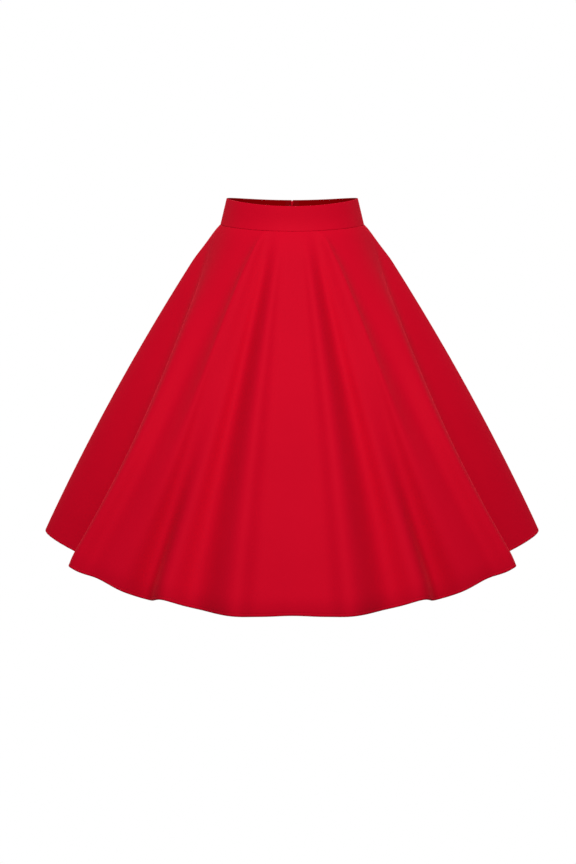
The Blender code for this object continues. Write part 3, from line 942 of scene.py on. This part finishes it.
def back_points(across, drop):
    """Points on the outside at the centre back, from distances across it and down from the top."""
    across, drop = np.broadcast_arrays(across, drop)
    in_band = np.clip(drop / BAND_SLANT, 0, 1)
    half_width = WAIST_HALF_WIDTH + (SEAM_HALF_WIDTH - WAIST_HALF_WIDTH) * in_band
    on_band = band_points(math.pi - across / half_width, in_band)
    share = np.clip((drop - BAND_SLANT) / BACK_LENGTH, 0, 1)
    rate = width_of_station(CENTRE_BACK, -1, share)
    on_cloth = cloth_points(CENTRE_BACK - np.abs(across) / rate, share)
    on_cloth[..., 0] *= np.where(across < 0, -1, 1)
    return np.where((drop < BAND_SLANT)[..., None], on_band, on_cloth)


def depth_at(drop, in_band, in_cloth):
    """A depth under the outside that changes softly from the band's wall to the single cloth."""
    change = soft_step(drop, BAND_SLANT - TAPE_BEND, BAND_SLANT + TAPE_BEND)
    return in_band + (in_cloth - in_band) * change + band_hollow(np.clip(drop / BAND_SLANT, 0, 1))


TAPE_WEAVE = textured(
    "zip tape",
    "ShaderNodeTexWave",
    {"Scale": 420.0, "Distortion": 0.6},
    colours=((0.24, 0.0006, 0.0020), (0.31, 0.0008, 0.0030)),
    roughness=(0.72, 0),
    specular=0.05,
    bump=(0.6, 0.08 * MM),
    place=on_the_cloth,
)


def tape(name, side):
    """One tape, hung inside the band and the panel at a side of the centre back."""
    part = np.array(TAPE_STEPS if side < 0 else TAPE_STEPS[::-1])
    drop = np.linspace(TAPE_TOP, ZIP_BOTTOM, TAPE_ROWS)
    below_slider = soft_step(drop, NOTCH_DEPTH, COIL_TOP)
    inner_edge = TAPE_INNER_EDGE_AT_SLIDER + (TAPE_INNER_EDGE - TAPE_INNER_EDGE_AT_SLIDER) * below_slider
    width = TAPE_OUTER_EDGE - inner_edge
    away = part[:, None] * width
    across = side * (inner_edge + away)
    form = back_points(across, drop[None, :])
    rim = rolled(np.minimum(away, width - away), TAPE_RIM)
    top = depth_at(drop, TAPE_DEPTH_IN_BAND, TAPE_DEPTH_IN_CLOTH)
    flat = np.stack(np.broadcast_arrays(across, drop), axis=-1)
    return shell(name, form, top + rim, top + TAPE_THICKNESS - rim, flat, TAPE_WEAVE, TAPE_WEAVE)


for side, label in ((1, "left"), (-1, "right")):
    made = tape(f"zip_tape_{label}_weave", side)
    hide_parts(f"zip_tape_{label}")
    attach(made, "garment")


# The zip's coils. A spiral of nylon wire is sewn along each tape's inner edge, and its loops
# lie between the other's, from under the slider down to the bottom stop.

COIL_RADIUS = 0.75 * MM
COIL_OFFSET = 0.55 * MM
COIL_PITCH = 1.3 * MM
COIL_WIRE = 0.26 * MM
COIL_FLATNESS = 0.8
COIL_STEPS_A_TURN = 10
COIL_SIDES = 6
STOP_ABOVE_END = 6.0 * MM
STOP_DROP = ZIP_BOTTOM - STOP_ABOVE_END
NYLON = textured(
    "nylon coil",
    "ShaderNodeTexNoise",
    {"Scale": 900.0},
    colours=((0.28, 0.0008, 0.0030), (0.36, 0.0012, 0.0050)),
    roughness=(0.28, 0.2),
    specular=0.15,
)


def coil(name, side, first_drop, last_drop):
    """One of the two spirals, its loops reaching over the centre line between the other's."""
    turns = (last_drop - first_drop) / COIL_PITCH
    steps = int(turns * COIL_STEPS_A_TURN)
    turn = np.linspace(0, turns * 2 * math.pi, steps)
    drop = first_drop + (last_drop - first_drop) * np.linspace(0, 1, steps)
    middle = back_points(np.array(0.0), drop)
    down = unit(back_points(np.array(0.0), drop + 1 * MM) - middle)
    out = unit(np.cross(down, [1.0, 0, 0]))
    out = np.where(out[:, 1:2] < 0, -out, out)
    depth = depth_at(drop, TAPE_DEPTH_IN_BAND, TAPE_DEPTH_IN_CLOTH) + TAPE_THICKNESS + COIL_RADIUS
    deeper = depth + COIL_RADIUS * np.sin(turn) * COIL_FLATNESS
    points = middle - out * deeper[:, None] + down * (0.25 * COIL_PITCH * side)
    points[:, 0] += side * (COIL_OFFSET + COIL_RADIUS * np.cos(turn))
    return thread_tube(name, points, COIL_WIRE, COIL_SIDES, NYLON)


for side, label in ((1, "left"), (-1, "right")):
    made = coil(f"zip_coil_{label}", side, COIL_TOP, STOP_DROP)
    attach(made, "garment")


# The slider. Two plates with a wedge and two flanges between them, die-cast in zinc with the
# bail and painted. It grips the coils at the band's top, and the bail reaches out through the
# notch.

ENAMEL = textured(
    "slider enamel",
    "ShaderNodeTexNoise",
    {"Scale": 260.0, "Detail": 3.0},
    colours=((0.55, 0.0025, 0.0120), (0.66, 0.0035, 0.0170)),
    roughness=(0.22, 0.25),
    specular=0.25,
    bump=(0.25, 0.05 * MM),
)
UP_THE_BAND = Vector(band_points(math.pi, 0.0) - band_points(math.pi, 1.0)).normalized()
ACROSS = Vector((1.0, 0.0, 0.0))
OUT = UP_THE_BAND.cross(ACROSS)
BAND_TOP = Vector(band_points(math.pi, 0.0))


def zip_matrix(first, second, third, drop=0.0, proud=0.0):
    """A placement with three given axes, at a drop below the band's top and proud of the band."""
    place = BAND_TOP - UP_THE_BAND * drop + OUT * proud
    return Matrix.Translation(place) @ Matrix((first, second, third)).transposed().to_4x4()


CORNER_STEPS = 6
WELD_DISTANCE = 0.005 * MM
SHARP_ANGLE = 40.0


def rounded_outline(corners):
    """A closed outline with each corner (x, y, radius) rounded by an arc."""
    outline = []
    for number, (x, y, radius) in enumerate(corners):
        here = Vector((x, y))
        before = (Vector(corners[number - 1][:2]) - here).normalized()
        after = (Vector(corners[(number + 1) % len(corners)][:2]) - here).normalized()
        half = before.angle(after) / 2
        reach = radius / math.tan(half)
        centre = here + (before + after).normalized() * (radius / math.sin(half))
        start = here + before * reach - centre
        sweep = start.angle_signed(here + after * reach - centre)
        for step in range(CORNER_STEPS + 1):
            turn = -sweep * step / CORNER_STEPS
            along = start.x * math.cos(turn) - start.y * math.sin(turn)
            up = start.x * math.sin(turn) + start.y * math.cos(turn)
            outline.append((centre.x + along, centre.y + up))
    return outline


def even_outline(corners):
    """A rounded outline from the corners of its right half, which the left half mirrors."""
    left = [(-x, y, radius) for x, y, radius in corners]
    return rounded_outline(left + corners[::-1])


def plate(name, outlines, thickness, edge, matrix):
    """A painted plate cut from outlines, the first its rim and the others its holes."""
    curve = bpy.data.curves.new(name, "CURVE")
    curve.dimensions = "2D"
    curve.fill_mode = "BOTH"
    curve.extrude = thickness / 2 - edge
    curve.bevel_depth = edge
    curve.bevel_resolution = 2
    curve.offset = -edge
    for outline in outlines:
        spline = curve.splines.new("POLY")
        spline.points.add(len(outline) - 1)
        for point, place in zip(spline.points, outline):
            point.co = (place[0], place[1], 0, 1)
        spline.use_cyclic_u = True
    holder = placed(name, curve)
    ready = holder.evaluated_get(bpy.context.evaluated_depsgraph_get())
    mesh = bpy.data.meshes.new_from_object(ready)
    bpy.data.objects.remove(holder)
    weld = bmesh.new()
    weld.from_mesh(mesh)
    bmesh.ops.remove_doubles(weld, verts=weld.verts, dist=WELD_DISTANCE)
    bmesh.ops.recalc_face_normals(weld, faces=weld.faces)
    weld.to_mesh(mesh)
    weld.free()
    mesh.transform(matrix)
    mesh.materials.clear()
    mesh.materials.append(ENAMEL)
    mesh.shade_smooth()
    mesh.set_sharp_from_angle(angle=math.radians(SHARP_ANGLE))
    return placed(name, mesh)


SLIDER_TOP = 1.0 * MM
SLIDER_SHOULDER = 5.2 * MM
SLIDER_BOTTOM = 10.0 * MM
SLIDER_NEAR = 3.6 * MM
SLIDER_FAR = 6.2 * MM
SLIDER_PLATE = 0.6 * MM
SLIDER_HALF_WIDTH = 2.6 * MM
SLIDER_FOOT_HALF_WIDTH = 1.9 * MM
SLIDER_EDGE = 0.2 * MM
WEDGE_HALF_WIDTH = 1.0 * MM
WEDGE_TOP = 1.3 * MM
WEDGE_TIP = 5.0 * MM
WEDGE_EDGE = 0.1 * MM
FLANGE_TOP = 2.4 * MM
FLANGE_SHOULDER = 5.4 * MM
FLANGE_BOTTOM = 9.4 * MM
FLANGE_WIDTH = 0.55 * MM
FLANGE_DEPTH = 1.5 * MM
FLANGE_ROUND = 0.2 * MM
FLANGE_EDGE = 0.12 * MM
slider_outline = even_outline([
    (SLIDER_HALF_WIDTH, -SLIDER_TOP, 1.1 * MM),
    (SLIDER_HALF_WIDTH, -SLIDER_SHOULDER, 2.0 * MM),
    (SLIDER_FOOT_HALF_WIDTH, -SLIDER_BOTTOM, 0.5 * MM),
])
wedge_outline = rounded_outline([
    (-WEDGE_HALF_WIDTH, -WEDGE_TOP, 0.3 * MM),
    (0.0, -WEDGE_TIP, 0.4 * MM),
    (WEDGE_HALF_WIDTH, -WEDGE_TOP, 0.3 * MM),
])
flat_on_band = (ACROSS, UP_THE_BAND, -OUT)
slider_parts = []
for label, depth in (("near", SLIDER_NEAR + SLIDER_PLATE / 2), ("far", SLIDER_FAR - SLIDER_PLATE / 2)):
    matrix = zip_matrix(*flat_on_band, proud=-depth)
    face = plate(f"slider_{label}_plate", [slider_outline], SLIDER_PLATE, SLIDER_EDGE, matrix)
    slider_parts.append(face)
gap_between = SLIDER_FAR - SLIDER_NEAR - SLIDER_PLATE
matrix = zip_matrix(*flat_on_band, proud=-(SLIDER_NEAR + SLIDER_FAR) / 2)
slider_parts.append(plate("slider_wedge", [wedge_outline], gap_between, WEDGE_EDGE, matrix))
matrix = zip_matrix(*flat_on_band, proud=-(SLIDER_FAR - FLANGE_DEPTH / 2))
for side in (-1, 1):
    flange_outline = rounded_outline([
        (side * (SLIDER_HALF_WIDTH - FLANGE_WIDTH), -FLANGE_TOP, FLANGE_ROUND),
        (side * SLIDER_HALF_WIDTH, -FLANGE_TOP, FLANGE_ROUND),
        (side * SLIDER_HALF_WIDTH, -FLANGE_SHOULDER, FLANGE_ROUND),
        (side * (SLIDER_FOOT_HALF_WIDTH + 0.1 * MM), -FLANGE_BOTTOM, FLANGE_ROUND),
        (side * (SLIDER_FOOT_HALF_WIDTH - 0.4 * MM), -FLANGE_BOTTOM, FLANGE_ROUND),
        (side * (SLIDER_HALF_WIDTH - FLANGE_WIDTH), -FLANGE_SHOULDER, FLANGE_ROUND),
    ])
    flange = plate(f"slider_flange_{side + 1}", [flange_outline], FLANGE_DEPTH, FLANGE_EDGE, matrix)
    slider_parts.append(flange)

BAIL_TOP = 1.4 * MM
BAIL_BOTTOM = 7.6 * MM
BAIL_LEG = 1.2 * MM
BAIL_BAR_NEAR = 2.4 * MM
BAIL_BAR_FAR = 3.2 * MM
BAIL_THICKNESS = 1.2 * MM
BAIL_EDGE = 0.25 * MM
BAIL_ROOT = -3.8 * MM
bail_outline = rounded_outline([
    (BAIL_ROOT, -BAIL_TOP, 0.1 * MM),
    (BAIL_BAR_FAR, -BAIL_TOP, 1.1 * MM),
    (BAIL_BAR_FAR, -BAIL_BOTTOM, 1.1 * MM),
    (BAIL_ROOT, -BAIL_BOTTOM, 0.1 * MM),
    (BAIL_ROOT, -(BAIL_BOTTOM - BAIL_LEG), 0.1 * MM),
    (BAIL_BAR_NEAR, -(BAIL_BOTTOM - BAIL_LEG), 0.45 * MM),
    (BAIL_BAR_NEAR, -(BAIL_TOP + BAIL_LEG), 0.45 * MM),
    (BAIL_ROOT, -(BAIL_TOP + BAIL_LEG), 0.1 * MM),
])
matrix = zip_matrix(OUT, UP_THE_BAND, ACROSS)
slider_parts.append(plate("slider_bail", [bail_outline], BAIL_THICKNESS, BAIL_EDGE, matrix))
for made in slider_parts:
    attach(made, "garment")
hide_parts("zip_slider")


# The pull tab. A stamped plate with a window, painted as the slider is. It hangs by its top
# bar on the bail, outside the band, and swings up on it.

HINGE_DROP = 4.5 * MM
HINGE_PROUD = 1.2 * MM
PULL_BAR = 1.2 * MM
PULL_LENGTH = 18.0 * MM
PULL_TOP_HALF_WIDTH = 2.1 * MM
PULL_NECK_HALF_WIDTH = 1.75 * MM
PULL_NECK = 8.5 * MM
PULL_NECK_ROUND = 8.0 * MM
PULL_END_RADIUS = 2.6 * MM
PULL_THICKNESS = 1.0 * MM
PULL_EDGE = 0.3 * MM
WINDOW_HALF_WIDTH = 1.1 * MM
WINDOW_LENGTH = 4.4 * MM
pull_outline = even_outline([
    (PULL_TOP_HALF_WIDTH, PULL_BAR / 2, 0.7 * MM),
    (PULL_NECK_HALF_WIDTH, -PULL_NECK, PULL_NECK_ROUND),
    (PULL_END_RADIUS, PULL_BAR / 2 - PULL_LENGTH, PULL_END_RADIUS - 0.3 * MM),
])
window_outline = even_outline([
    (WINDOW_HALF_WIDTH, -PULL_BAR / 2, 0.5 * MM),
    (WINDOW_HALF_WIDTH, -PULL_BAR / 2 - WINDOW_LENGTH, 0.9 * MM),
])
matrix = zip_matrix(*flat_on_band, drop=HINGE_DROP, proud=HINGE_PROUD)
pull = plate("pull_tab_plate", [pull_outline, window_outline], PULL_THICKNESS, PULL_EDGE, matrix)
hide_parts("zip_pull")
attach(pull, "pull_tab")


# The bottom stop. A small block of zinc, clamped over both coils where the zip ends and
# painted as the slider is.

STOP_HALF_WIDTH = 1.7 * MM
STOP_HALF_HEIGHT = 1.6 * MM
STOP_ROUND = 0.4 * MM
STOP_THICKNESS = 1.9 * MM
STOP_EDGE = 0.3 * MM
stop_outline = even_outline([
    (STOP_HALF_WIDTH, STOP_HALF_HEIGHT, STOP_ROUND),
    (STOP_HALF_WIDTH, -STOP_HALF_HEIGHT, STOP_ROUND),
])
stop_top, stop_foot = (Vector(back_points(0.0, STOP_DROP + step)) for step in (-1 * MM, 1 * MM))
stop_up = (stop_top - stop_foot).normalized()
stop_in = ACROSS.cross(stop_up)
stop_place = (stop_top + stop_foot) / 2 + stop_in * (TAPE_DEPTH_IN_CLOTH + TAPE_THICKNESS + COIL_RADIUS)
stop_turn = Matrix((ACROSS, stop_up, stop_in)).transposed().to_4x4()
matrix = Matrix.Translation(stop_place) @ stop_turn
stop = plate("zip_bottom_stop", [stop_outline], STOP_THICKNESS, STOP_EDGE, matrix)
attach(stop, "garment")


# The studio. A plain pale floor well below the hanging skirt, a pale backdrop all round, a
# large soft light above the camera with weaker ones at both sides and behind, and a camera in
# front that looks slightly down.

FLOOR_HEIGHT = -1.05
FLOOR_SIZE = 14.0
FLOOR_COLOUR = (0.25, 0.25, 0.25, 1.0)
CAMERA_PLACE = (-0.0077, -3.0, 0.17375)
CAMERA_TILT = 11.02
CAMERA_LENS = 68.0
CAMERA_SENSOR = 36.0
FILL_STRENGTH = 0.11
SKIRT_MIDDLE = Vector((0.0, 0.0, -0.28))
Softbox = namedtuple("Softbox", "name azimuth elevation distance width height power")
SOFTBOXES = (
    Softbox("key_softbox", 0.0, 41.0, 3.3, 2.2, 1.6, 96.0),
    Softbox("rim_softbox_0", -118.0, 18.0, 2.6, 1.2, 1.6, 12.0),
    Softbox("rim_softbox_2", 118.0, 18.0, 2.6, 1.2, 1.6, 12.0),
    Softbox("back_softbox", 180.0, 30.0, 3.3, 2.2, 1.6, 34.0),
)

pale = bpy.data.materials.new("pale floor")
pale.use_nodes = True
pale_tree = pale.node_tree
pale_tree.nodes.remove(pale_tree.nodes["Principled BSDF"])
matte = pale_tree.nodes.new("ShaderNodeBsdfDiffuse")
matte.inputs["Color"].default_value = FLOOR_COLOUR
bright = pale_tree.nodes.new("ShaderNodeEmission")
path = pale_tree.nodes.new("ShaderNodeLightPath")
seen = pale_tree.nodes.new("ShaderNodeMixShader")
pale_tree.links.new(path.outputs["Is Camera Ray"], seen.inputs[0])
pale_tree.links.new(matte.outputs[0], seen.inputs[1])
pale_tree.links.new(bright.outputs[0], seen.inputs[2])
pale_tree.links.new(seen.outputs[0], pale_tree.nodes["Material Output"].inputs["Surface"])

bpy.ops.mesh.primitive_plane_add(size=FLOOR_SIZE, location=(0, 0, FLOOR_HEIGHT))
floor = bpy.context.object
floor.name = "floor"
floor.data.materials.append(pale)

world = bpy.data.worlds.new("studio")
bpy.context.scene.world = world
world.use_nodes = True
world_tree = world.node_tree
backdrop = world_tree.nodes["Background"]
backdrop.inputs["Color"].default_value = (1, 1, 1, 1)
world_path = world_tree.nodes.new("ShaderNodeLightPath")
shown = math_node(world_tree, "MULTIPLY", world_path.outputs["Is Camera Ray"], 1 - FILL_STRENGTH)
strength = math_node(world_tree, "ADD", shown, FILL_STRENGTH)
world_tree.links.new(strength, backdrop.inputs["Strength"])

for box in SOFTBOXES:
    light = bpy.data.lights.new(box.name, "AREA")
    light.shape = "RECTANGLE"
    light.size = box.width
    light.size_y = box.height
    light.energy = box.power
    lamp = placed(box.name, light)
    turn = math.radians(box.azimuth)
    rise = math.radians(box.elevation)
    level = math.cos(rise)
    offset = Vector((math.sin(turn) * level, -math.cos(turn) * level, math.sin(rise)))
    lamp.location = SKIRT_MIDDLE + offset * box.distance
    lamp.rotation_euler = (-offset).to_track_quat("-Z", "Y").to_euler()

camera_data = bpy.data.cameras.new("camera")
camera_data.lens = CAMERA_LENS
camera_data.sensor_width = CAMERA_SENSOR
camera = placed("camera", camera_data)
camera.location = CAMERA_PLACE
camera.rotation_euler = (math.radians(90 - CAMERA_TILT), 0, 0)
bpy.context.scene.camera = camera
bpy.context.scene.view_settings.view_transform = "Standard"
